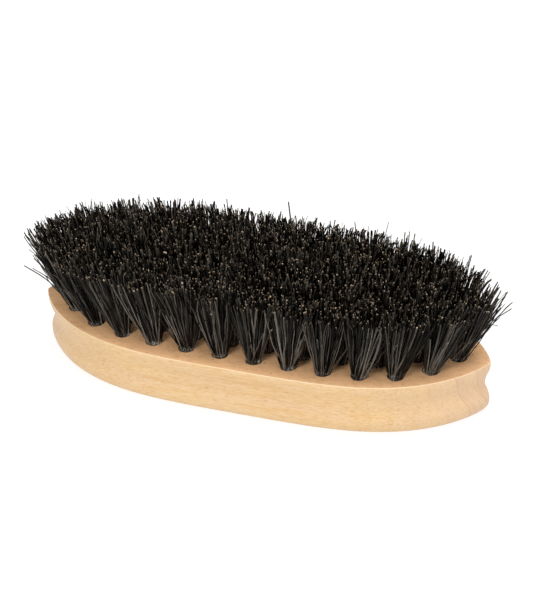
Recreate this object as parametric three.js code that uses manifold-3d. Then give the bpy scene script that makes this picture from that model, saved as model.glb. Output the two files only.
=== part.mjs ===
// Clothes brush: a one-piece beech block with bundles of stiff black fibre set in blind holes.
// Millimetres. +X runs along the block, +Z is the way the bristles point, and the origin is the
// middle of the flat back, which is z = 0.
import * as THREE from 'three';
import Module from 'manifold-3d';

// Block: a pointed oval seen from above, |y| = width / 2 * (1 - |2x / length| ^ FULLNESS) ^ TAPER.
const BLOCK_LENGTH = 180;
const BLOCK_WIDTH = 65.2;
const BLOCK_HEIGHT = 22.5;
const BLOCK_FULLNESS = 3.66;
const BLOCK_TAPER = 0.8;
const OUTLINE_STEPS = 72;

// Side of the block, from the back up: a rounded edge, a bulge, a finger groove and a sharp rim.
const EDGE_ROUND_IN = 4.5;
const EDGE_ROUND_UP = 5.7;
const BULGE_HEIGHT = 6.2;
const BULGE_INSET = 0.4;
const GROOVE_HEIGHT = 13;
const GROOVE_DEPTH = 2.15;
const RIM_LAND = 1.2;
const ROUND_STEPS = 4;
const WAVE_STEPS = 4;

// Hole pattern: three rings, one inside the other, at an even pitch. Each starts past the +X tip by a
// share of its own pitch, so that the middle ring's tufts stand between the outer ring's. The pattern
// is drilled slightly off the block's own centre, as the drilling machine took hold of the block.
const RINGS = [
  { name: 'outer', halfLength: 78.8, halfWidth: 24.6, tufts: 26, start: 0 },
  { name: 'middle', halfLength: 67.4, halfWidth: 16.2, tufts: 20, start: 0.6 },
  { name: 'inner', halfLength: 48, halfWidth: 5.8, tufts: 12, start: 0 },
];
const RING_FULLNESS = 4.2;
const RING_TAPER = 0.7;
const RING_STEPS = 720;
const PATTERN_SHIFT = new THREE.Vector2(-1.3, 0.8);
const PATTERN_TURN = THREE.MathUtils.degToRad(-0.9);

// Each hole is drilled along its tuft's own axis. The axes fan out from one point, which lies
// FAN_DEPTH below the bristle face, so the tufts lean outwards towards the tips and the sides.
const FAN_DEPTH = 235;
const HOLE_RADIUS = 3;
const HOLE_DEPTH = 12;
const DRILL_POINT = 1.2;
const DRILL_CLEAR = 3;
const HOLE_SIDES = 12;

// Tufts: a straight plug in the hole, then a bundle that flares up to the level trim.
const TRIM_HEIGHT = 29;
const CLEARANCE = 0.3;
const PLUG_RISE = 1;
const FLARE_MIDDLE = 0.55;
const TUFT_SIDES = 10;

const wasm = await Module();
wasm.setup();

/** A point of a pointed oval, at an angle measured round it from the +X tip. */
function ovalPoint(halfLength, halfWidth, fullness, taper, angle) {
  const along = Math.cos(angle);
  const across = (1 - Math.abs(along) ** fullness) ** taper;
  return new THREE.Vector2(halfLength * along, Math.sign(Math.sin(angle)) * halfWidth * across);
}

/** Closed solid through rings of points in order, with a fan to a middle point at each end. */
function loft(rings, startPoint, endPoint) {
  const sides = rings[0].length;
  const points = [...rings.flat(), startPoint, endPoint];
  const start = points.length - 2;
  const end = points.length - 1;
  const lastRing = (rings.length - 1) * sides;
  const triangles = [];
  for (let side = 0; side < sides; side++) {
    const next = (side + 1) % sides;
    triangles.push(start, next, side);
    triangles.push(end, lastRing + side, lastRing + next);
    for (let ring = 0; ring < lastRing; ring += sides) {
      triangles.push(ring + side, ring + next, ring + sides + next);
      triangles.push(ring + side, ring + sides + next, ring + sides + side);
    }
  }
  const geometry = new THREE.BufferGeometry().setFromPoints(points);
  geometry.setIndex(triangles);
  return geometry;
}

function toSolid(geometry) {
  const vertProperties = new Float32Array(geometry.attributes.position.array);
  const triVerts = new Uint32Array(geometry.index.array);
  return new wasm.Manifold(new wasm.Mesh({ numProp: 3, vertProperties, triVerts }));
}

function toGeometry(solid) {
  const { vertProperties, triVerts } = solid.getMesh();
  const geometry = new THREE.BufferGeometry();
  geometry.setAttribute('position', new THREE.BufferAttribute(vertProperties, 3));
  geometry.setIndex(new THREE.BufferAttribute(triVerts, 1));
  return geometry;
}

/** Half a wave of the side's profile, leaving out its first point. */
function halfWave(fromInset, fromHeight, toInset, toHeight) {
  return Array.from({ length: WAVE_STEPS }, (_, index) => {
    const part = (index + 1) / WAVE_STEPS;
    const eased = (1 - Math.cos(Math.PI * part)) / 2;
    return {
      inset: THREE.MathUtils.lerp(fromInset, toInset, eased),
      height: THREE.MathUtils.lerp(fromHeight, toHeight, part),
    };
  });
}

/** How far the side lies inside the rim at each height, from the back to the rim. */
function sideProfile() {
  const profile = [];
  for (let step = 0; step <= ROUND_STEPS; step++) {
    const turn = (Math.PI / 2) * (step / ROUND_STEPS);
    profile.push({
      inset: BULGE_INSET + EDGE_ROUND_IN * (1 - Math.sin(turn)),
      height: EDGE_ROUND_UP * (1 - Math.cos(turn)),
    });
  }
  const rimLandHeight = BLOCK_HEIGHT - RIM_LAND;
  profile.push({ inset: BULGE_INSET, height: BULGE_HEIGHT });
  profile.push(...halfWave(BULGE_INSET, BULGE_HEIGHT, GROOVE_DEPTH, GROOVE_HEIGHT));
  profile.push(...halfWave(GROOVE_DEPTH, GROOVE_HEIGHT, 0, rimLandHeight));
  profile.push({ inset: 0, height: BLOCK_HEIGHT });
  return profile;
}

/** The block before it is drilled. */
function plainBlock() {
  const rings = sideProfile().map(({ inset, height }) =>
    Array.from({ length: OUTLINE_STEPS }, (_, step) => {
      const angle = (2 * Math.PI * step) / OUTLINE_STEPS;
      const halfLength = BLOCK_LENGTH / 2 - inset;
      const halfWidth = BLOCK_WIDTH / 2 - inset;
      const point = ovalPoint(halfLength, halfWidth, BLOCK_FULLNESS, BLOCK_TAPER, angle);
      return new THREE.Vector3(point.x, point.y, height);
    }));
  return loft(rings, new THREE.Vector3(0, 0, 0), new THREE.Vector3(0, 0, BLOCK_HEIGHT));
}

/** Hole centres of one ring, evenly spaced along it. */
function ringPlaces({ halfLength, halfWidth, tufts, start }) {
  const path = Array.from({ length: RING_STEPS + 1 }, (_, step) => {
    const angle = (2 * Math.PI * step) / RING_STEPS;
    return ovalPoint(halfLength, halfWidth, RING_FULLNESS, RING_TAPER, angle);
  });
  const travelled = [0];
  for (let step = 1; step < path.length; step++) {
    travelled.push(travelled[step - 1] + path[step].distanceTo(path[step - 1]));
  }
  return Array.from({ length: tufts }, (_, index) => {
    const goal = (travelled[RING_STEPS] * (index + start)) / tufts;
    const after = Math.max(1, travelled.findIndex((distance) => distance >= goal));
    const part = (goal - travelled[after - 1]) / (travelled[after] - travelled[after - 1]);
    return path[after - 1].clone().lerp(path[after], part);
  });
}

/** Mouth, axis and top centre of every tuft. */
function tuftPlaces() {
  return RINGS.flatMap((ring) => ringPlaces(ring).map((place, index) => {
    const turned = place.rotateAround(new THREE.Vector2(), PATTERN_TURN);
    const lean = new THREE.Vector3(turned.x / FAN_DEPTH, turned.y / FAN_DEPTH, 1);
    const drilled = turned.clone().add(PATTERN_SHIFT);
    const mouth = new THREE.Vector3(drilled.x, drilled.y, BLOCK_HEIGHT);
    const top = mouth.clone().addScaledVector(lean, TRIM_HEIGHT);
    const name = `tuft_${ring.name}_${String(index + 1).padStart(2, '0')}`;
    return { name, mouth, axis: lean.normalize(), top };
  }));
}

/** Points of a circle square to an axis, at a distance along it. */
function circleAlong(mouth, axis, distance, radius, sides) {
  const across = new THREE.Vector3(0, 1, 0).cross(axis).normalize();
  const upright = axis.clone().cross(across);
  return Array.from({ length: sides }, (_, side) => {
    const angle = (2 * Math.PI * side) / sides;
    return mouth.clone()
      .addScaledVector(axis, distance)
      .addScaledVector(across, radius * Math.cos(angle))
      .addScaledVector(upright, radius * Math.sin(angle));
  });
}

/** What the drill takes out: a blind hole with a shallow point, open above the face. */
function drilledHole({ mouth, axis }) {
  const rings = [-HOLE_DEPTH, DRILL_CLEAR].map((distance) =>
    circleAlong(mouth, axis, distance, HOLE_RADIUS, HOLE_SIDES));
  const point = mouth.clone().addScaledVector(axis, -HOLE_DEPTH - DRILL_POINT);
  return loft(rings, point, mouth.clone().addScaledVector(axis, DRILL_CLEAR));
}

function blockGeometry(places) {
  let solid = toSolid(plainBlock());
  for (const place of places) {
    solid = solid.subtract(toSolid(drilledHole(place)));
  }
  return toGeometry(solid);
}

/** Slides points along an axis until they lie at a height. */
function cutLevel(points, axis, height) {
  return points.map((point) => point.clone().addScaledVector(axis, (height - point.z) / axis.z));
}

/** One bundle: half the free room to its nearest neighbour sets how wide it flares. */
function tuftGeometry(place, places) {
  const { mouth, axis, top } = place;
  const gaps = places.filter((other) => other !== place).map((other) => other.top.distanceTo(top));
  const topRadius = (Math.min(...gaps) - CLEARANCE) / 2;
  const plugRadius = HOLE_RADIUS - CLEARANCE;
  const middleRadius = THREE.MathUtils.lerp(plugRadius, topRadius, FLARE_MIDDLE);
  const length = top.distanceTo(mouth);
  const circle = (distance, radius) => circleAlong(mouth, axis, distance, radius, TUFT_SIDES);
  const plugEnd = CLEARANCE - HOLE_DEPTH;
  const rings = [
    circle(plugEnd, plugRadius),
    circle(PLUG_RISE, plugRadius),
    circle(length / 2, middleRadius),
    cutLevel(circle(length, topRadius), axis, top.z),
  ];
  return loft(rings, mouth.clone().addScaledVector(axis, plugEnd), top);
}

function namedMesh(name, geometry, material) {
  geometry.computeVertexNormals();
  const mesh = new THREE.Mesh(geometry, material);
  mesh.name = name;
  return mesh;
}

const beech = new THREE.MeshStandardMaterial({ color: 0xe8c49a, roughness: 0.6, metalness: 0 });
const blackFibre = new THREE.MeshStandardMaterial({ color: 0x1d1b19, roughness: 0.55, metalness: 0 });

const brush = new THREE.Group();
brush.name = 'clothes_brush';
const places = tuftPlaces();
brush.add(namedMesh('wooden_block', blockGeometry(places), beech));
for (const place of places) {
  brush.add(namedMesh(place.name, tuftGeometry(place, places), blackFibre));
}

export default brush;
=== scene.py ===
"""Looks of the clothes brush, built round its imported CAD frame: a drilled beech block, 58 tufts of
stiff black fibre, each folded over a wire anchor at the bottom of its hole, and a plain pale studio."""

import math

import bpy
import numpy as np
from mathutils import Matrix, Vector


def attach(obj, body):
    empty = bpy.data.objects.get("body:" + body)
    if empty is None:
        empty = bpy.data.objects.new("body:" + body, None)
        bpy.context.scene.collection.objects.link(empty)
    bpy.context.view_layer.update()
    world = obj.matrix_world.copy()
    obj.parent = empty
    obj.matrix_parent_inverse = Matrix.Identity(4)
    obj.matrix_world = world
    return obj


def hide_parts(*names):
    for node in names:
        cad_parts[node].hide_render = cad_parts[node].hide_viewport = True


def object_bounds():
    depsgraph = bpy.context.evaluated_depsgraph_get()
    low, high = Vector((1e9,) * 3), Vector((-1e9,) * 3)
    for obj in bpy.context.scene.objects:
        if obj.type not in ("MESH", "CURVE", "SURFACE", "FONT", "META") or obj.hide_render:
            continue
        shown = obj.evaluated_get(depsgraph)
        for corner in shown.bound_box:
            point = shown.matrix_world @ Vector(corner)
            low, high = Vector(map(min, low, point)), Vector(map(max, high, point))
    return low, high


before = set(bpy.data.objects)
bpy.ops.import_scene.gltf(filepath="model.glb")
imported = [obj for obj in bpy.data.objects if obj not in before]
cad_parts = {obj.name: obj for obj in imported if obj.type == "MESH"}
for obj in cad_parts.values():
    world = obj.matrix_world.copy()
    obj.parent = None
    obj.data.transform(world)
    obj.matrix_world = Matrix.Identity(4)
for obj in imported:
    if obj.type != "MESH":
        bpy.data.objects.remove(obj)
cad_low, cad_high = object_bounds()

MM = 0.001

# Camera: a long lens, from in front and a little to the right of the middle, and rolled slightly.
LENS = 149
VIEW_DISTANCE = 968 * MM
VIEW_TURN = math.radians(21.64)
VIEW_HEIGHT = math.radians(33.9)
VIEW_ROLL = math.radians(-2.81)
VIEW_PITCH = math.radians(0.885)
VIEW_YAW = math.radians(-0.054)
SIGHT_HEIGHT = 13.5 * MM

# Studio: an evenly lit white room with a glowing floor, both in millimetres where they are sizes.
WORLD_STRENGTH = 0.42
FLOOR_REACH = 4000
FLOOR_GAP = 0.02
FLOOR_GREY = 0.25
FLOOR_GLOW = 0.8

# Block, in millimetres as in the CAD part.
BLOCK_LENGTH = 180
BLOCK_WIDTH = 65.2
BLOCK_HEIGHT = 22.5
BLOCK_FULLNESS = 3.66
BLOCK_TAPER = 0.8
EDGE_ROUND_IN = 4.5
EDGE_ROUND_UP = 5.7
BULGE_HEIGHT = 6.2
BULGE_INSET = 0.4
GROOVE_HEIGHT = 13
GROOVE_DEPTH = 2.15
RIM_LAND = 1.2
RIM_ROUND = 0.4
OUTLINE_STEPS = 400
ROUND_STEPS = 10
WAVE_STEPS = 18
RIM_STEPS = 4
BLOCK_CREASE = 28

# Holes and bundles, in millimetres.
HOLE_RADIUS = 3
HOLE_DEPTH = 12
DRILL_POINT = 1.2
DRILL_CLEAR = 3
MOUTH_BEVEL = 0.2
HOLE_SIDES = 32
CLEARANCE = 0.3
TRIM_HEIGHT = 29

# How far from its lowest and highest points a CAD tuft's two end rings reach, as it leans.
PLUG_END_BAND = 4
TOP_BAND = 0.2


def rows(*columns):
    """Stacks equal-length columns as rows of a float array."""
    return np.stack(np.broadcast_arrays(*columns), axis=-1).astype(float)


def make_mesh(name, points_mm, faces):
    """A mesh object from points in millimetres."""
    mesh = bpy.data.meshes.new(name)
    mesh.from_pydata((np.asarray(points_mm) * MM).tolist(), [], faces)
    mesh.update()
    made = bpy.data.objects.new(name, mesh)
    bpy.context.scene.collection.objects.link(made)
    return made


def smooth_by_angle(piece, degrees):
    piece.data.shade_smooth()
    piece.data.set_sharp_from_angle(angle=math.radians(degrees))


# ---------------------------------------------------------------- camera, light and floor


def make_camera():
    back = Vector((
        math.sin(VIEW_TURN) * math.cos(VIEW_HEIGHT),
        -math.cos(VIEW_TURN) * math.cos(VIEW_HEIGHT),
        math.sin(VIEW_HEIGHT),
    ))
    data = bpy.data.cameras.new("camera")
    data.lens = LENS
    data.clip_start = 0.01
    camera = bpy.data.objects.new("camera", data)
    aim = (-back).to_track_quat("-Z", "Y").to_matrix()
    roll = Matrix.Rotation(VIEW_ROLL, 3, "Z")
    pitch = Matrix.Rotation(VIEW_PITCH, 3, "X")
    yaw = Matrix.Rotation(VIEW_YAW, 3, "Y")
    camera.rotation_euler = (aim @ roll @ pitch @ yaw).to_euler()
    camera.location = Vector((0, 0, SIGHT_HEIGHT)) + back * VIEW_DISTANCE
    bpy.context.scene.collection.objects.link(camera)
    bpy.context.scene.camera = camera


def soft_box(name, place, size, watts, tint=(1, 1, 1)):
    """A square area light that faces the middle of the brush."""
    data = bpy.data.lights.new(name, "AREA")
    data.shape = "SQUARE"
    data.size = size
    data.energy = watts
    data.color = tint
    light = bpy.data.objects.new(name, data)
    light.location = place
    towards = Vector((0, 0, cad_high.z / 2)) - Vector(place)
    light.rotation_euler = towards.to_track_quat("-Z", "Y").to_euler()
    bpy.context.scene.collection.objects.link(light)


def make_studio():
    scene = bpy.context.scene
    scene.view_settings.view_transform = "Standard"
    world = bpy.data.worlds.new("studio")
    world.use_nodes = True
    background = world.node_tree.nodes["Background"]
    background.inputs["Color"].default_value = (1, 1, 1, 1)
    background.inputs["Strength"].default_value = WORLD_STRENGTH
    scene.world = world
    soft_box("key_box", (-0.3, -0.95, 0.56), 0.4, 6.8)
    soft_box("side_box", (0.95, -0.55, 0.32), 0.5, 4.1)
    soft_box("overhead_box", (0.18, 0.08, 1.15), 0.7, 12.8)

    reach = FLOOR_REACH
    corners = [(-reach, -reach, 0), (reach, -reach, 0), (reach, reach, 0), (-reach, reach, 0)]
    floor = make_mesh("floor", corners, [(0, 1, 2, 3)])
    floor.location.z = -FLOOR_GAP * MM
    white = bpy.data.materials.new("studio_white")
    white.use_nodes = True
    paint = white.node_tree.nodes["Principled BSDF"]
    paint.inputs["Base Color"].default_value = (FLOOR_GREY, FLOOR_GREY, FLOOR_GREY, 1)
    paint.inputs["Roughness"].default_value = 0.9
    paint.inputs["Specular IOR Level"].default_value = 0.1
    paint.inputs["Emission Color"].default_value = (1, 1, 1, 1)
    paint.inputs["Emission Strength"].default_value = FLOOR_GLOW
    floor.data.materials.append(white)


# ---------------------------------------------------------------- tufts as the frame places them


def tuft_frame(node):
    """Mouth of the hole, axis and middle of the trimmed top, from the node's own solid, in millimetres."""
    points = np.array([vertex.co for vertex in node.data.vertices]) / MM
    points = np.unique(points.round(3), axis=0)
    height = points[:, 2]
    plug_end = points[height < height.min() + PLUG_END_BAND].mean(axis=0)
    top = points[height > height.max() - TOP_BAND].mean(axis=0)
    axis = (top - plug_end) / np.linalg.norm(top - plug_end)
    mouth = plug_end + axis * (HOLE_DEPTH - CLEARANCE)
    return {"name": node.name, "mouth": mouth, "axis": axis, "top": top}


def side_axes(axis):
    """Two directions square to an axis: the first lies along the brush, the second across it."""
    along = np.cross((0, 1, 0), axis)
    along /= np.linalg.norm(along)
    return along, np.cross(axis, along)


# ---------------------------------------------------------------- beech block


def oval(half_length, half_width, angle):
    """Points of the block's pointed oval at angles measured round it from the +X tip."""
    along = np.cos(angle)
    across = (1 - np.abs(along) ** BLOCK_FULLNESS) ** BLOCK_TAPER
    return half_length * along, np.sign(np.sin(angle)) * half_width * across


def side_profile():
    """Inset and height of the side, from the flat back up to the bristle face."""
    turn = np.linspace(0, math.pi / 2, ROUND_STEPS + 1)
    edge = rows(BULGE_INSET + EDGE_ROUND_IN * (1 - np.sin(turn)), EDGE_ROUND_UP * (1 - np.cos(turn)))

    part = np.linspace(0, 1, WAVE_STEPS + 1)
    wave = (1 - np.cos(math.pi * part)) / 2
    into_groove = rows(
        BULGE_INSET + (GROOVE_DEPTH - BULGE_INSET) * wave,
        BULGE_HEIGHT + (GROOVE_HEIGHT - BULGE_HEIGHT) * part,
    )
    land = BLOCK_HEIGHT - RIM_LAND
    out_to_rim = rows(GROOVE_DEPTH * (1 - wave), GROOVE_HEIGHT + (land - GROOVE_HEIGHT) * part)

    turn = np.linspace(0, math.pi / 2, RIM_STEPS + 1)
    rim = rows(RIM_ROUND * (1 - np.cos(turn)), BLOCK_HEIGHT - RIM_ROUND * (1 - np.sin(turn)))
    return np.vstack([edge, into_groove, out_to_rim[1:], rim])


def plain_block():
    angle = np.linspace(0, 2 * math.pi, OUTLINE_STEPS, endpoint=False)
    rings = []
    for inset, height in side_profile():
        x, y = oval(BLOCK_LENGTH / 2 - inset, BLOCK_WIDTH / 2 - inset, angle)
        rings.append(rows(x, y, height))
    faces = []
    for ring in range(len(rings) - 1):
        low = ring * OUTLINE_STEPS
        high = low + OUTLINE_STEPS
        for step in range(OUTLINE_STEPS):
            after = (step + 1) % OUTLINE_STEPS
            faces.append((low + step, low + after, high + after, high + step))
    top = (len(rings) - 1) * OUTLINE_STEPS
    faces.append(tuple(reversed(range(OUTLINE_STEPS))))
    faces.append(tuple(range(top, top + OUTLINE_STEPS)))
    return make_mesh("beech_block", np.vstack(rings), faces)


def drills(tufts):
    """All that the drill takes out, as one mesh: blind holes with a shallow point and a broken edge."""
    angle = np.linspace(0, 2 * math.pi, HOLE_SIDES, endpoint=False)
    stations = [
        (HOLE_RADIUS, -HOLE_DEPTH),
        (HOLE_RADIUS, -MOUTH_BEVEL),
        (HOLE_RADIUS + 2 * MOUTH_BEVEL, MOUTH_BEVEL),
        (HOLE_RADIUS + 2 * MOUTH_BEVEL, DRILL_CLEAR),
    ]
    points = []
    faces = []
    for tuft in tufts:
        along, across = side_axes(tuft["axis"])
        first = len(points)
        for radius, distance in stations:
            centre = tuft["mouth"] + tuft["axis"] * distance
            for turn in angle:
                points.append(centre + radius * (along * math.cos(turn) + across * math.sin(turn)))
        points.append(tuft["mouth"] - tuft["axis"] * (HOLE_DEPTH + DRILL_POINT))
        tip = len(points) - 1
        for step in range(HOLE_SIDES):
            after = (step + 1) % HOLE_SIDES
            faces.append((tip, first + after, first + step))
            for station in range(len(stations) - 1):
                low = first + station * HOLE_SIDES
                high = low + HOLE_SIDES
                faces.append((low + step, low + after, high + after, high + step))
        faces.append(tuple(tip - HOLE_SIDES + step for step in range(HOLE_SIDES)))
    return make_mesh("drills", points, faces)


def make_block(tufts, wood):
    block = plain_block()
    tool = drills(tufts)
    cut = block.modifiers.new("holes", "BOOLEAN")
    cut.operation = "DIFFERENCE"
    cut.solver = "EXACT"
    cut.object = tool
    graph = bpy.context.evaluated_depsgraph_get()
    drilled = bpy.data.meshes.new_from_object(block.evaluated_get(graph))
    block.modifiers.clear()
    block.data = drilled
    bpy.data.objects.remove(tool)
    block.data.materials.clear()
    block.data.materials.append(wood)
    smooth_by_angle(block, BLOCK_CREASE)
    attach(block, "root")
    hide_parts("wooden_block")


# ---------------------------------------------------------------- materials


def node(tree, kind, inputs, **settings):
    """Adds one node, with its inputs given by name or number as values or as sockets to link."""
    made = tree.nodes.new(kind)
    for key, value in settings.items():
        setattr(made, key, value)
    for key, value in inputs.items():
        if isinstance(value, bpy.types.NodeSocket):
            tree.links.new(value, made.inputs[key])
        else:
            made.inputs[key].default_value = value
    return made


def calc(tree, operation, *values, clamp=False):
    inputs = dict(enumerate(values))
    return node(tree, "ShaderNodeMath", inputs, operation=operation, use_clamp=clamp).outputs[0]


def remap(tree, value, low, high, to_low=0.0, to_high=1.0):
    inputs = {"Value": value, "From Min": low, "From Max": high, "To Min": to_low, "To Max": to_high}
    return node(tree, "ShaderNodeMapRange", inputs, clamp=True).outputs["Result"]


def tint(tree, factor, base, other):
    """Colour mix from base to other."""
    inputs = {0: factor, 6: base, 7: other}
    return node(tree, "ShaderNodeMix", inputs, data_type="RGBA").outputs[2]


def stretched(tree, vector, scale):
    return node(tree, "ShaderNodeMapping", {"Vector": vector, "Scale": scale}).outputs["Vector"]


def noise(tree, vector, detail=2.0, roughness=0.5):
    inputs = {"Vector": vector, "Scale": 1.0, "Detail": detail, "Roughness": roughness}
    return node(tree, "ShaderNodeTexNoise", inputs).outputs["Fac"]


def voronoi(tree, vector):
    inputs = {"Vector": vector, "Scale": 1.0, "Randomness": 1.0}
    return node(tree, "ShaderNodeTexVoronoi", inputs).outputs


def product(tree, *factors):
    result = factors[0]
    for factor in factors[1:]:
        result = calc(tree, "MULTIPLY", result, factor)
    return result


def new_material(name):
    material = bpy.data.materials.new(name)
    material.use_nodes = True
    return material, material.node_tree, material.node_tree.nodes["Principled BSDF"]


# Wood, in millimetres: X along the grain, Y through the growth rings, Z along them.
RING_TILT = math.radians(-22)
RING_PITCH = 6.6
RING_START = 1.3
RING_WANDER = 1.4

BEECH_YELLOW = (0.640, 0.450, 0.240, 1)
BEECH_PINK = (0.624, 0.442, 0.260, 1)
BAND_BROWN = (0.58, 0.36, 0.150, 1)
PORE_BROWN = (0.53, 0.29, 0.10, 1)
STREAK_PALE = (0.72, 0.54, 0.36, 1)
DASH_BROWN = (0.51, 0.28, 0.10, 1)
RING_BROWN = (0.52, 0.32, 0.205, 1)
RING_LINE = (0.44, 0.24, 0.12, 1)
RAY_BROWN = (0.37, 0.18, 0.075, 1)
END_GRAIN = (0.66, 0.48, 0.36, 1)
END_RIPPLE = (0.50, 0.31, 0.19, 1)
# Sanded face colour, made brighter than the side's with painted light.
SANDED_FACE_PAINTED_LIGHT = (0.84, 0.48, 0.242, 1)
GRUBBY_FACE = (0.36, 0.19, 0.09, 1)
FACE_DOT = (0.14, 0.08, 0.05, 1)
# Paler colour of the painted highlight on the rim and hole edges.
PAINTED_EDGE_HIGHLIGHT = (0.84, 0.66, 0.45, 1)


def growth_rings(tree, grain, axes):
    """How much darker a place is for its season, and for the thin line that ends a year."""
    wander = noise(tree, stretched(tree, grain, (1 / 60, 1 / 24, 1 / 24)), detail=1.5)
    depth = calc(tree, "ADD", axes.outputs["Y"], remap(tree, wander, 0.2, 0.8, -RING_WANDER, RING_WANDER))
    years = calc(tree, "DIVIDE", calc(tree, "SUBTRACT", depth, RING_START), RING_PITCH)
    season = calc(tree, "FRACT", years)
    dark = calc(tree, "MULTIPLY", remap(tree, season, 0.0, 0.03), remap(tree, season, 0.75, 0.05))
    line = calc(tree, "MULTIPLY", remap(tree, season, 0.0, 0.015), remap(tree, season, 0.08, 0.03))

    # The rings show best at the +X end and in the years near the middle of the block, and in patches.
    patches = noise(tree, stretched(tree, grain, (1 / 45, 1 / 14, 1 / 14)))
    in_patches = remap(tree, patches, 0.38, 0.62, 0.5, 1.0)
    at_the_end = remap(tree, axes.outputs["X"], 50, 80, 0.35, 1.0)
    near_middle = remap(tree, depth, -7.0, -5.4, 0.3, 1.0)
    seen = product(tree, in_patches, at_the_end, near_middle)
    return calc(tree, "MULTIPLY", dark, seen), calc(tree, "MULTIPLY", line, seen)


def beech_material():
    material, tree, shader = new_material("beech")
    place = node(tree, "ShaderNodeTexCoord", {}).outputs["Object"]
    inputs = {"Vector": place, "Rotation": (RING_TILT, 0, 0), "Scale": (1 / MM, 1 / MM, 1 / MM)}
    grain = node(tree, "ShaderNodeMapping", inputs).outputs["Vector"]
    axes = node(tree, "ShaderNodeSeparateXYZ", {"Vector": grain})

    # Growth rings: each year ends in a sharp edge, past which the wood is darker and then slowly pales.
    ring, ring_line = growth_rings(tree, grain, axes)

    # Rays: short dark spindles along the grain, most of them faint.
    rays = voronoi(tree, stretched(tree, grain, (1 / 4.0, 1 / 2.2, 1 / 0.8)))
    chosen = node(tree, "ShaderNodeSeparateColor", {"Color": rays["Color"]})
    size = remap(tree, chosen.outputs["Green"], 0.0, 1.0, 0.12, 0.30)
    away = calc(tree, "DIVIDE", rays["Distance"], size)
    spindle = calc(tree, "SUBTRACT", 1.0, away, clamp=True)
    strength = calc(tree, "POWER", chosen.outputs["Red"], 4.0)
    ray = calc(tree, "MULTIPLY", remap(tree, spindle, 0.0, 0.6), strength)

    # Figure: broad patches, a little yellower or pinker. Bands: long soft streaks. Streaks and dashes:
    # fine lines of pores.
    figure = noise(tree, stretched(tree, grain, (1 / 30, 1 / 7, 1 / 6)), detail=3.0, roughness=0.6)
    band = noise(tree, stretched(tree, grain, (1 / 30, 1 / 1.7, 1 / 1.7)), detail=2.0)
    streak = noise(tree, stretched(tree, grain, (1 / 8.0, 1 / 0.5, 1 / 0.5)), detail=4.0, roughness=0.7)
    dashes = noise(tree, stretched(tree, grain, (1 / 2.4, 1 / 0.38, 1 / 0.38)), detail=2.0)
    pore = remap(tree, streak, 0.50, 0.72)

    colour = tint(tree, remap(tree, figure, 0.38, 0.62), BEECH_YELLOW, BEECH_PINK)
    colour = tint(tree, remap(tree, band, 0.48, 0.72, 0.0, 0.5), colour, BAND_BROWN)
    colour = tint(tree, calc(tree, "MULTIPLY", pore, 0.60), colour, PORE_BROWN)
    colour = tint(tree, remap(tree, streak, 0.48, 0.26, 0.0, 0.40), colour, STREAK_PALE)
    colour = tint(tree, remap(tree, dashes, 0.50, 0.70, 0.0, 0.62), colour, DASH_BROWN)
    colour = tint(tree, calc(tree, "MULTIPLY", ring, 0.60), colour, RING_BROWN)
    colour = tint(tree, calc(tree, "MULTIPLY", ring_line, 0.60), colour, RING_LINE)
    colour = tint(tree, calc(tree, "MULTIPLY", ray, 0.80), colour, RAY_BROWN)

    # End grain, at the two tips, is paler and pinker.
    normal = node(tree, "ShaderNodeNewGeometry", {}).outputs["Normal"]
    facing = node(tree, "ShaderNodeSeparateXYZ", {"Vector": normal})
    end_grain = remap(tree, calc(tree, "ABSOLUTE", facing.outputs["X"]), 0.35, 0.95, 0.0, 0.45)
    colour = tint(tree, end_grain, colour, END_GRAIN)
    ripple = noise(tree, stretched(tree, grain, (1 / 40, 1 / 0.8, 1 / 14)), detail=2.0)
    ripple = calc(tree, "MULTIPLY", remap(tree, ripple, 0.48, 0.70), end_grain)
    colour = tint(tree, ripple, colour, END_RIPPLE)

    # The bristle face is sanded but not polished: redder and mottled, with dark dots of dust. Its sanded
    # colour is also painted light, brighter than the side's, standing in for light that the tufts keep
    # from the face.
    upward = facing.outputs["Z"]
    face = remap(tree, upward, 0.9, 0.99)
    dots = voronoi(tree, stretched(tree, place, (620, 620, 620)))
    picked = node(tree, "ShaderNodeSeparateColor", {"Color": dots["Color"]})
    inside = remap(tree, dots["Distance"], 0.27, 0.10)
    dot = product(tree, inside, face, remap(tree, picked.outputs["Red"], 0.62, 0.95))
    mottle = stretched(tree, grain, (1 / 3.2, 1 / 1.2, 1 / 1.2))
    mottle = noise(tree, mottle, detail=4.0, roughness=0.65)
    # Painted light: the face is tinted brighter than the side, on top of its sanded redness.
    colour = tint(tree, calc(tree, "MULTIPLY", face, 0.8), colour, SANDED_FACE_PAINTED_LIGHT)
    grubby = calc(tree, "MULTIPLY", face, remap(tree, mottle, 0.46, 0.70, 0.0, 0.30))
    colour = tint(tree, grubby, colour, GRUBBY_FACE)
    colour = tint(tree, calc(tree, "MULTIPLY", dot, 0.75), colour, FACE_DOT)

    # Painted highlight: the rounded edges of the rim and of the holes are made paler, standing for the
    # thin bright line the light draws along them.
    height = node(tree, "ShaderNodeSeparateXYZ", {"Vector": place}).outputs["Z"]
    high = remap(tree, height, (BLOCK_HEIGHT - 0.8) * MM, (BLOCK_HEIGHT - 0.4) * MM)
    edge = calc(tree, "MULTIPLY", remap(tree, upward, 0.1, 0.35), remap(tree, upward, 0.97, 0.8))
    colour = tint(tree, product(tree, edge, high, 0.5), colour, PAINTED_EDGE_HIGHLIGHT)
    tree.links.new(colour, shader.inputs["Base Color"])

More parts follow.
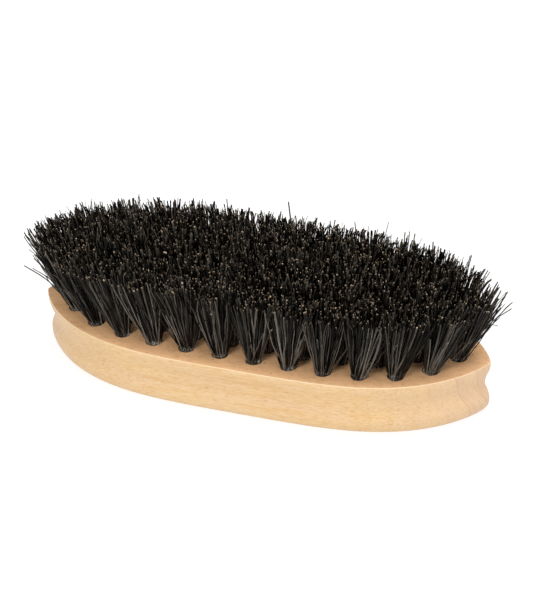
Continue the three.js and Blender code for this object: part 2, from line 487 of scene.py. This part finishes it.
    rough = remap(tree, streak, 0.3, 0.75, 0.40, 0.55)
    rough = calc(tree, "ADD", rough, calc(tree, "MULTIPLY", ray, 0.05))
    tree.links.new(rough, shader.inputs["Roughness"])
    shader.inputs["Specular IOR Level"].default_value = 0.22
    relief = calc(tree, "ADD", calc(tree, "MULTIPLY", pore, 0.7), calc(tree, "MULTIPLY", ray, 0.6))
    inputs = {"Height": relief, "Strength": 0.35, "Distance": 0.03 * MM}
    bump = node(tree, "ShaderNodeBump", inputs, invert=True)
    tree.links.new(bump.outputs["Normal"], shader.inputs["Normal"])
    return material


FIBRE_BLACK = (0.0004, 0.0004, 0.0003, 1)
FIBRE_GREY_LOW = (0.175, 0.153, 0.127, 1)
FIBRE_GREY_HIGH = (0.098, 0.086, 0.069, 1)
CUT_END = (0.49, 0.36, 0.245, 1)
DUST = (0.56, 0.52, 0.47, 1)
WIRE_DARK = (0.55, 0.54, 0.52, 1)
WIRE_BRIGHT = (0.72, 0.71, 0.69, 1)


def fibre_material():
    """Near-black natural fibre. Its strands carry tone, 0 to 1, and worn, 1 at a cut end."""
    material, tree, shader = new_material("black_fibre")
    tone = node(tree, "ShaderNodeAttribute", {}, attribute_name="tone").outputs["Fac"]
    worn = node(tree, "ShaderNodeAttribute", {}, attribute_name="worn").outputs["Fac"]
    place = node(tree, "ShaderNodeTexCoord", {}).outputs["Object"]
    streak = noise(tree, stretched(tree, place, (2500, 2500, 180)), detail=2.0)
    shade = calc(tree, "MULTIPLY", tone, remap(tree, streak, 0.25, 0.75, 0.5, 1.3), clamp=True)
    height = node(tree, "ShaderNodeSeparateXYZ", {"Vector": place}).outputs["Z"]
    # The strands' grey shifts with height: paler grey low down, darker grey towards the cut ends.
    strand_height_share = remap(tree, height, (BLOCK_HEIGHT + 10) * MM, (BLOCK_HEIGHT + TRIM_HEIGHT) * MM)
    grey = tint(tree, strand_height_share, FIBRE_GREY_LOW, FIBRE_GREY_HIGH)
    colour = tint(tree, shade, FIBRE_BLACK, grey)
    colour = tint(tree, worn, colour, CUT_END)

    # Dust and glue left where the bundles leave the wood.
    near_wood = remap(tree, height, (BLOCK_HEIGHT + 2.6) * MM, (BLOCK_HEIGHT + 0.3) * MM)
    specks = noise(tree, stretched(tree, place, (3000, 3000, 1400)), detail=1.0)
    smears = noise(tree, stretched(tree, place, (330, 330, 330)), detail=1.0)
    in_smears = remap(tree, smears, 0.42, 0.60, 0.15, 0.85)
    dust = product(tree, remap(tree, specks, 0.47, 0.60), near_wood, in_smears)
    colour = tint(tree, dust, colour, DUST)
    tree.links.new(colour, shader.inputs["Base Color"])
    shader.inputs["Roughness"].default_value = 0.34
    shader.inputs["Specular IOR Level"].default_value = 0.10
    shader.inputs["Specular Tint"].default_value = (1.0, 0.92, 0.82, 1)
    return material


def wire_material():
    material, tree, shader = new_material("anchor_wire")
    place = node(tree, "ShaderNodeTexCoord", {}).outputs["Object"]
    drawn = noise(tree, stretched(tree, place, (6000, 400, 6000)), detail=2.0)
    colour = tint(tree, remap(tree, drawn, 0.3, 0.7), WIRE_DARK, WIRE_BRIGHT)
    tree.links.new(colour, shader.inputs["Base Color"])
    shader.inputs["Metallic"].default_value = 1.0
    shader.inputs["Roughness"].default_value = 0.35
    return material


# ---------------------------------------------------------------- tufts

# Loose hairs that stand out of the outline: their tuft, radius, and a few points from its mouth, in
# millimetres along the brush's own axes.
STRAYS = [
    ("tuft_outer_15", 0.24, [(-2.6, -0.4, 0), (-7, -0.5, 6), (-13, -0.4, 11.2), (-21.5, 0, 15.2)]),
    ("tuft_outer_15", 0.2, [(-2.4, 0.6, 0), (-6.6, 0.6, 6.4), (-12, 0.4, 11.2), (-17.9, 0, 14.6)]),
    ("tuft_outer_15", 0.2, [(-2.5, 0, 0), (-6, 0, 7), (-10.3, 0, 12.4), (-14.6, 0, 17.6)]),
    ("tuft_outer_15", 0.2, [(-2.5, 0, 0), (-7.5, 0, 10), (-13.5, 0, 20), (-19.7, 0, 29.5)]),
    ("tuft_outer_15", 0.18, [(-2.4, 0.5, 0), (-6.5, 0.5, 8), (-11.5, 0.4, 15), (-16.5, 0, 21.4)]),
    ("tuft_outer_01", 0.22, [(2.6, -0.3, 0), (7.6, -1, 10.5), (13.8, -2, 20), (21, -3, 27.4)]),
    ("tuft_outer_01", 0.12, [(2.6, -0.3, 0), (7.6, -1, 10.5), (13.8, -2, 20), (18.6, -3, 26.6)]),
    ("tuft_outer_01", 0.13, [(2.6, -0.3, 0), (7.4, -1, 10.4), (12.2, -2, 17.8), (16, -3, 19)]),
    ("tuft_outer_01", 0.12, [(2.6, -0.3, 0), (7.4, -1, 10.4), (12.4, -2, 18), (13, -3, 21.5)]),
    ("tuft_outer_01", 0.25, [(2.5, 0.2, 0), (6.5, 0, 12), (11, -1.5, 22.5), (15.8, -3, 31)]),
    ("tuft_outer_01", 0.11, [(2.5, 0.2, 0), (6.5, 0, 12), (11.3, -1.5, 22.5), (18.8, -3, 34)]),
    ("tuft_outer_26", 0.09, [(1.5, -1.8, 0), (5, -3, 4), (10, -3.5, 10), (17, -3, 19)]),
    ("tuft_outer_19", 0.08, [(-1.6, -2.2, 0), (3, -5.2, 2), (6.5, -5.5, 6.5), (7.5, -4, 12)]),
    ("tuft_outer_24", 0.08, [(1.6, -2.2, 0), (5.5, -4.5, 3.5), (5, -5, 8), (8.5, -4, 12)]),
    ("tuft_outer_01", 0.24, [(2, 1.4, 0), (4.6, 3.4, 11), (8.6, 5.8, 21), (12.8, 8, 30.8)]),
    ("tuft_outer_01", 0.2, [(2.2, 1, 0), (5.4, 2.4, 11), (9.8, 4, 21), (14, 6, 30)]),
    ("tuft_outer_02", 0.22, [(2.2, 0.8, 0), (5, 2, 11), (8.8, 3.4, 21), (12.6, 5, 30)]),
    ("tuft_outer_01", 0.2, [(2, 1.4, 0), (4.9, 3.2, 11), (9, 5.5, 21), (13.3, 7.4, 30)]),
    ("tuft_outer_01", 0.2, [(1.8, 1.6, 0), (4.3, 3.5, 11), (8.2, 6, 21), (12.2, 8.3, 29.6)]),
    ("tuft_outer_02", 0.2, [(2.1, 1, 0), (4.8, 2.3, 11), (8.4, 3.8, 21), (12, 5.6, 29.4)]),
    ("tuft_outer_02", 0.24, [(1.2, 2.1, 0), (2.4, 4.4, 11), (4.1, 7, 21.5), (6, 9.7, 32)]),
    ("tuft_outer_02", 0.2, [(1, 2.2, 0), (2.1, 4.6, 11), (3.6, 7.4, 21.5), (5.3, 10.2, 31.4)]),
    ("tuft_outer_03", 0.26, [(0.2, 2.4, 0), (0.3, 4.2, 11), (0.4, 6, 21), (0.5, 8, 31.5)]),
    ("tuft_outer_04", 0.22, [(1.4, 2, 0), (2.6, 4, 11), (3.7, 6.2, 21), (4.9, 8.4, 31)]),
    ("tuft_outer_04", 0.2, [(1, 2.2, 0), (1.6, 4.3, 11), (2.1, 6.5, 21.5), (2.7, 8.7, 31.5)]),
    ("tuft_outer_05", 0.14, [(1.2, 2.1, 0), (2.8, 4, 12), (5.4, 6, 23), (7.4, 8, 33.4)]),
    ("tuft_outer_05", 0.2, [(-1.2, 2.1, 0), (-2.4, 3.4, 11), (-4.2, 5.2, 22), (-5.8, 7, 32)]),
    ("tuft_outer_06", 0.24, [(0, 2.4, 0), (-1, 4, 11), (-1.6, 5.5, 22), (-0.4, 7, 31)]),
    ("tuft_outer_07", 0.26, [(1.4, 2, 0), (2.6, 3, 10), (4.4, 4.6, 21), (6.1, 6, 31.2)]),
    ("tuft_outer_07", 0.28, [(-1.2, 2.1, 0), (-2.4, 4, 12), (-4.6, 6.5, 24), (-6.5, 9, 34.5)]),
    ("tuft_outer_08", 0.24, [(1.2, 2.1, 0), (2.2, 3.2, 10), (3.6, 4.6, 21), (4.9, 6, 31.4)]),
    ("tuft_outer_09", 0.2, [(-0.8, 2.3, 0), (-1.8, 3.6, 11), (-3, 5.2, 22), (-4.3, 7, 32.6)]),
    ("tuft_outer_10", 0.28, [(-0.8, 2.3, 0), (-1.8, 3.3, 11), (-3, 4.6, 21), (-4.3, 6, 31.4)]),
    ("tuft_outer_11", 0.2, [(-1.2, 2.1, 0), (-2.8, 3, 11), (-4.8, 4, 21), (-6.8, 5, 30.6)]),
    ("tuft_outer_11", 0.2, [(-0.8, 2.3, 0), (-1.8, 3, 11), (-3, 4, 21), (-4.2, 5, 31.1)]),
]

# Bundles. A strand is one fibre from cut end to cut end, and a leg is half of it.
STRANDS = 92
FIRST_SEED = 101
STRAND_SIDES = 5
PACK_RADIUS = 2.7
PACK_DISORDER = 0.10
FOLD_DEPTH = 11.2
WIRE_DEPTH = 10.4
GOLDEN_TURN = math.pi * (3 - math.sqrt(5))

# Spread at the top. A tuft with open space on one side spreads freely there, by EDGE_REACH along and
# across the brush. Elsewhere it reaches a little past the middle of the gap to its neighbours.
NEAR = 30
OPEN_SIDE = 0.4
EDGE_REACH = (6.6, 4.9)
OVERLAP = 1.4
SHARED_REACH = 9.6

# Tips: their scatter about an even spread, and the shares that stray, stand out or stop short.
TIP_SCATTER = 1.15
WILD_SHARE = 0.07
WILD_REACH = 4.5
TIP_DROP = 0.1
HEIGHT_SCATTER = 0.6
LONG_SHARE = 0.02
LONG_EXTRA = (0.8, 2.6)
SHORT_SHARE = 0.14
SHORT_LOSS = (1.5, 12)

# Bends of a leg between the mouth and the tip.
BOW = 1.9
WAVE = 0.13
WAVE_BEATS = (1.2, 3.0)
CURL_START = 0.84
CURLED_SHARE = 0.2
CURL = 0.7
SLIGHT_CURL = 0.18
CURL_DROP = 0.35

# Strand sections and their cut ends.
STRAND_RADIUS = 0.19
RADIUS_SPREAD = 0.38
RADIUS_LIMITS = (0.09, 0.44)
MOST_TAPER = 0.2
FLAT_SHARE = 0.2
FLAT = (1.25, 1.7)
ROUND = (0.9, 1.1)
MOST_UNEVEN = 0.16
MOST_SLANT = 0.8
TONE_SHAPE = (0.26, 0.9)
BRIGHT_SHARE = 0.48
BRIGHT_SHAPE = (0.8, 2.2)
WORN_LENGTH = 0.45
WORN_FADE = 0.10
STRAND_CREASE = 75

# Loose hairs: those that every tuft has besides the ones in STRAYS.
STRAY_STEPS = 14
STRAY_ROOT = 4
STRAY_TONE = 0.6
STRAY_COUNT = (2, 5)
STRAY_START = 2.4
STRAY_REACH = (10, 23)
STRAY_RADIUS = (0.06, 0.11)

# Places of the rings along the free length of a leg, as shares of it: closer near the cut end.
FREE_PARTS = np.append(np.linspace(0, 0.9, 8), (0.95, 1 - WORN_LENGTH / TRIM_HEIGHT, 1))


def packed_disc(random, count):
    """Evenly crowded places in the mouth of a hole, with a little disorder."""
    index = np.arange(count)
    distance = PACK_RADIUS * np.sqrt((index + 0.5) / count)
    turn = index * GOLDEN_TURN + random.uniform(0, 2 * math.pi)
    places = rows(distance * np.cos(turn), distance * np.sin(turn))
    return places + random.normal(0, PACK_DISORDER, places.shape)


def with_open_side(gaps):
    """Gaps to the neighbours. A tuft at the edge gets one more, out to where it may spread freely."""
    lengths = np.linalg.norm(gaps, axis=1, keepdims=True)
    close = lengths[:, 0] < NEAR
    away = -(gaps[close] / lengths[close]).mean(axis=0)
    if np.linalg.norm(away) < OPEN_SIDE:
        return gaps
    outward = away / np.linalg.norm(away)
    reach = 1 / np.linalg.norm(outward / EDGE_REACH)
    return np.vstack([gaps, outward * reach * 2 / OVERLAP])


def free_room(places, gaps):
    """How far a bundle spreads at the top in the direction of each place."""
    gaps = with_open_side(gaps)
    lengths = np.linalg.norm(gaps, axis=1)
    away = places / np.linalg.norm(places, axis=1, keepdims=True)
    facing = np.maximum(away @ (gaps / lengths[:, None]).T, 1e-3)
    return np.minimum((lengths / 2 / facing).min(axis=1) * OVERLAP, SHARED_REACH)


def tips(random, places, gaps):
    """Where legs end: how far out from the axis and how high above the face, in the tuft's axes."""
    count = len(places)
    out = places * (free_room(places, gaps) / PACK_RADIUS)[:, None]
    out += random.normal(0, TIP_SCATTER, places.shape)
    wild = random.random(count) < WILD_SHARE
    out[wild] += random.uniform(-WILD_REACH, WILD_REACH, (wild.sum(), 2))
    height = TRIM_HEIGHT - TIP_DROP + random.normal(0, HEIGHT_SCATTER, count)
    long_ones = random.random(count) < LONG_SHARE
    height[long_ones] += random.uniform(*LONG_EXTRA, long_ones.sum())
    short_ones = random.random(count) < SHORT_SHARE
    height[short_ones] -= random.uniform(*SHORT_LOSS, short_ones.sum())
    return out, height


def leg_path(random, places, out, height):
    """Centre lines from the mouth to the tip, in the tuft's own axes: (legs, steps, 3)."""
    count = len(places)
    part = FREE_PARTS[None, :, None]
    bow = random.normal(0, BOW, (count, 1, 2)) * (part - part**2)
    beats = random.uniform(*WAVE_BEATS, (count, 1, 2)) * part + random.random((count, 1, 2))
    wave = random.normal(0, WAVE, (count, 1, 2)) * np.sin(2 * math.pi * beats)
    wave *= np.minimum(3 * part, 1)
    bend = np.maximum(part - CURL_START, 0) / (1 - CURL_START)
    curl = random.normal(0, 1, (count, 1, 2))
    curl *= np.where(random.random((count, 1, 1)) < CURLED_SHARE, CURL, SLIGHT_CURL)
    sideways = places[:, None] + (out - places)[:, None] * part + bow + wave + curl * bend**2
    upward = height[:, None, None] * part - CURL_DROP * np.abs(curl[..., :1]) * bend**2
    return np.concatenate([sideways, upward], axis=2)


def plug_path(places, side):
    """The leg inside the hole, from below the mouth down to the fold: (legs, steps, 3).

    The legs gather into two rows, one on each side of the wire.
    """
    count = len(places)
    gathered = np.stack([places[:, 0] * 0.9, side * (0.55 + 0.62 * np.abs(places[:, 1]))], axis=1)
    upper = np.column_stack([places, np.full(count, -5.0)])
    lower = np.column_stack([gathered, np.full(count, -9.6)])
    beside_wire = np.column_stack([gathered * (1, 0.8), np.full(count, -WIRE_DEPTH - 0.3)])
    return np.stack([upper, lower, beside_wire], axis=1)


def tube_mesh(paths, radii, flatness, turns, cut_tilt):
    """Closed tubes round many paths at once: paths is (strands, steps, 3), radii (strands, steps)."""
    strands, steps, _ = paths.shape
    tangents = np.gradient(paths, axis=1)
    tangents /= np.linalg.norm(tangents, axis=2, keepdims=True)
    normal = np.zeros((strands, 3))
    normal[:, 0] = np.cos(turns)
    normal[:, 1] = np.sin(turns)
    side = np.arange(STRAND_SIDES) * 2 * math.pi / STRAND_SIDES
    rough_edge = 1 + cut_tilt["uneven"][:, None] * np.cos(2 * side + 3 * turns[:, None])
    points = np.empty((strands, steps, STRAND_SIDES, 3))
    for step in range(steps):
        tangent = tangents[:, step]
        normal = normal - tangent * (normal * tangent).sum(axis=1, keepdims=True)
        normal /= np.linalg.norm(normal, axis=1, keepdims=True)
        other = np.cross(tangent, normal)
        ring = (
            normal[:, None] * (np.cos(side)[None] * rough_edge * flatness[:, None])[:, :, None]
            + other[:, None] * (np.sin(side)[None] * rough_edge / flatness[:, None])[:, :, None]
        )
        points[:, step] = paths[:, step, None] + ring * radii[:, step, None, None]
        if step in (0, steps - 1):
            slant = cut_tilt["start" if step == 0 else "end"]
            points[:, step] += tangent[:, None] * (
                (np.cos(side - turns[:, None]) * slant[:, None] * radii[:, step, None])[:, :, None]
            )
    index = np.arange(strands * steps * STRAND_SIDES).reshape(strands, steps, STRAND_SIDES)
    low, high = index[:, :-1], index[:, 1:]
    low_next, high_next = np.roll(low, -1, axis=2), np.roll(high, -1, axis=2)
    quads = np.stack([low, low_next, high_next, high], axis=-1).reshape(-1, 4)
    faces = quads.tolist()
    faces += index[:, 0, ::-1].tolist()
    faces += index[:, -1].tolist()
    return points.reshape(-1, 3), faces


def smooth_path(knots, steps):
    """Evenly spaced points on a curve through a few knots."""
    knots = np.asarray(knots, float)
    padded = np.vstack([2 * knots[0] - knots[1], knots, 2 * knots[-1] - knots[-2]])
    place = np.linspace(0, len(knots) - 1, steps)
    first = np.minimum(place.astype(int), len(knots) - 2)
    part = (place - first)[:, None]
    before, start, end, after = (padded[first + offset] for offset in range(4))
    slope = end - before
    square = 2 * before - 5 * start + 4 * end - after
    cube = 3 * (start - end) + after - before
    return start + 0.5 * part * (slope + part * (square + part * cube))


def make_strays(tuft, random):
    """Paths and radii of the loose hairs of one tuft, in the brush's axes from its mouth."""
    knots = [(points, radius) for name, radius, points in STRAYS if name == tuft["name"]]
    for _ in range(random.integers(*STRAY_COUNT)):
        turn = random.uniform(0, 2 * math.pi)
        start = STRAY_START * np.array([math.cos(turn), math.sin(turn), 0])
        reach = random.normal(0, 3, 3) + tuft["axis"] * random.uniform(*STRAY_REACH)
        low = start + reach * 0.35 + random.normal(0, 0.8, 3)
        high = start + reach * 0.7 + random.normal(0, 1.2, 3)
        knots.append(([start, low, high, start + reach], random.uniform(*STRAY_RADIUS)))
    paths = []
    radii = []
    for points, radius in knots:
        root = np.array(points[0]) - (0, 0, STRAY_ROOT)
        paths.append(smooth_path([root, *points], STRAY_STEPS))
        radii.append(np.full(STRAY_STEPS, radius) * random.uniform(0.85, 1.15, STRAY_STEPS))
    return np.array(paths), np.array(radii)


def fold_legs(random, gaps):
    """Centre lines of whole strands, each up one side of the wire and down the other."""
    places = packed_disc(random, 2 * STRANDS)
    upper = places[places[:, 1] >= np.median(places[:, 1])]
    lower = places[places[:, 1] < np.median(places[:, 1])]
    upper = upper[np.argsort(upper[:, 0])][:STRANDS]
    lower = lower[np.argsort(lower[:, 0])][:STRANDS]
    legs = []
    for half, side in ((upper, 1), (lower, -1)):
        out, height = tips(random, half, gaps)
        free = leg_path(random, half, out, height)[:, ::-1]
        legs.append(np.concatenate([free, plug_path(half, side)], axis=1))
    fold = (legs[0][:, -1] + legs[1][:, -1]) / 2
    fold[:, 2] = -FOLD_DEPTH - 0.25 * np.abs(upper[:, 1])
    return np.concatenate([legs[0], fold[:, None], legs[1][:, ::-1]], axis=1)


def make_tuft(tuft, others, seed, fibre):
    """One bundle of folded strands. Each strand is one tube from one cut end to the other."""
    random = np.random.default_rng(seed)
    along, across = side_axes(tuft["axis"])
    gaps = np.array([other["top"] - tuft["top"] for other in others]) @ np.stack([along, across]).T
    paths = fold_legs(random, gaps)

    count, steps, _ = paths.shape
    radius = random.lognormal(math.log(STRAND_RADIUS), RADIUS_SPREAD, count)
    radius = np.clip(radius, *RADIUS_LIMITS)
    radii = np.repeat(radius[:, None], steps, axis=1) * random.uniform(0.9, 1.1, (count, steps))
    taper = random.uniform(0, MOST_TAPER, (count, 2))
    radii[:, : len(FREE_PARTS)] *= 1 - taper[:, :1] * FREE_PARTS[::-1] ** 3
    radii[:, -len(FREE_PARTS) :] *= 1 - taper[:, 1:] * FREE_PARTS**3
    flat = random.random(count) < FLAT_SHARE
    flatness = np.where(flat, random.uniform(*FLAT, count), random.uniform(*ROUND, count))
    turns = random.uniform(0, 2 * math.pi, count)
    cut_tilt = {
        "uneven": random.uniform(0, MOST_UNEVEN, count),
        "start": random.uniform(-MOST_SLANT, MOST_SLANT, count),
        "end": random.uniform(-MOST_SLANT, MOST_SLANT, count),
    }
    points, faces = tube_mesh(paths, radii, flatness, turns, cut_tilt)
    points = points @ np.stack([along, across, tuft["axis"]])
    strand_of_point = np.repeat(np.arange(count), steps * STRAND_SIDES)
    tone = random.beta(*TONE_SHAPE, count)[strand_of_point]
    pale_end = random.random((count, 2)) < BRIGHT_SHARE
    bright = np.where(pale_end, random.beta(*BRIGHT_SHAPE, (count, 2)), 0.0)
    worn = np.zeros((count, steps, STRAND_SIDES))
    worn[:, 0] = bright[:, :1]
    worn[:, 1] = bright[:, :1] * WORN_FADE
    worn[:, -2] = bright[:, 1:] * WORN_FADE
    worn[:, -1] = bright[:, 1:]

    loose, loose_radii = make_strays(tuft, random)
    even = np.ones(len(loose))
    no_tilt = {"uneven": even * 0, "start": even * 0, "end": even * 0}
    loose_points, loose_faces = tube_mesh(loose, loose_radii, even, even, no_tilt)
    faces += [[corner + len(points) for corner in face] for face in loose_faces]
    points = np.vstack([points, loose_points])
    tone = np.concatenate([tone, np.full(len(loose_points), STRAY_TONE)])
    worn = np.concatenate([worn.ravel(), np.zeros(len(loose_points))])

    piece = make_mesh("fibre_" + tuft["name"], tuft["mouth"] + points, faces)
    piece.data.attributes.new("tone", "FLOAT", "POINT").data.foreach_set("value", tone)
    piece.data.attributes.new("worn", "FLOAT", "POINT").data.foreach_set("value", worn)
    piece.data.materials.append(fibre)
    smooth_by_angle(piece, STRAND_CREASE)
    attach(piece, "root")
    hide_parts(tuft["name"])


# ---------------------------------------------------------------- anchors

ANCHOR_HALF_LENGTH = 3.4
ANCHOR_HALF_HEIGHT = 0.6
ANCHOR_HALF_THICKNESS = 0.19
ANCHOR_SIDES = 12
ANCHOR_CREASE = 40
ANCHOR_STATIONS = [(-1, 0.25), (-0.96, 0.7), (-0.85, 1), (0.85, 1), (0.96, 0.7), (1, 0.25)]


def make_anchors(tufts, wire):
    """A flattened piece of wire in each fold. Its chisel ends bite into the wall of the hole."""
    turn = np.linspace(0, 2 * math.pi, ANCHOR_SIDES, endpoint=False)
    points = []
    faces = []
    for tuft in tufts:
        along, across = side_axes(tuft["axis"])
        middle = tuft["mouth"] - tuft["axis"] * WIRE_DEPTH
        first = len(points)
        for place, size in ANCHOR_STATIONS:
            centre = middle + along * (ANCHOR_HALF_LENGTH * place)
            for angle in turn:
                thick = ANCHOR_HALF_THICKNESS * size * math.cos(angle)
                tall = ANCHOR_HALF_HEIGHT * size * math.sin(angle)
                points.append(centre + across * thick + tuft["axis"] * tall)
        for ring in range(len(ANCHOR_STATIONS) - 1):
            low = first + ring * ANCHOR_SIDES
            high = low + ANCHOR_SIDES
            for side in range(ANCHOR_SIDES):
                after = (side + 1) % ANCHOR_SIDES
                faces.append((low + side, low + after, high + after, high + side))
        faces.append(tuple(reversed(range(first, first + ANCHOR_SIDES))))
        faces.append(tuple(range(len(points) - ANCHOR_SIDES, len(points))))
    piece = make_mesh("tuft_anchors", points, faces)
    piece.data.materials.append(wire)
    smooth_by_angle(piece, ANCHOR_CREASE)
    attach(piece, "root")


# ---------------------------------------------------------------- the brush

make_camera()
make_studio()
tufts = [tuft_frame(made) for name, made in sorted(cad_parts.items()) if name.startswith("tuft_")]
make_block(tufts, beech_material())
make_anchors(tufts, wire_material())
fibre = fibre_material()
for number, tuft in enumerate(tufts):
    make_tuft(tuft, [other for other in tufts if other is not tuft], FIRST_SEED + number, fibre)
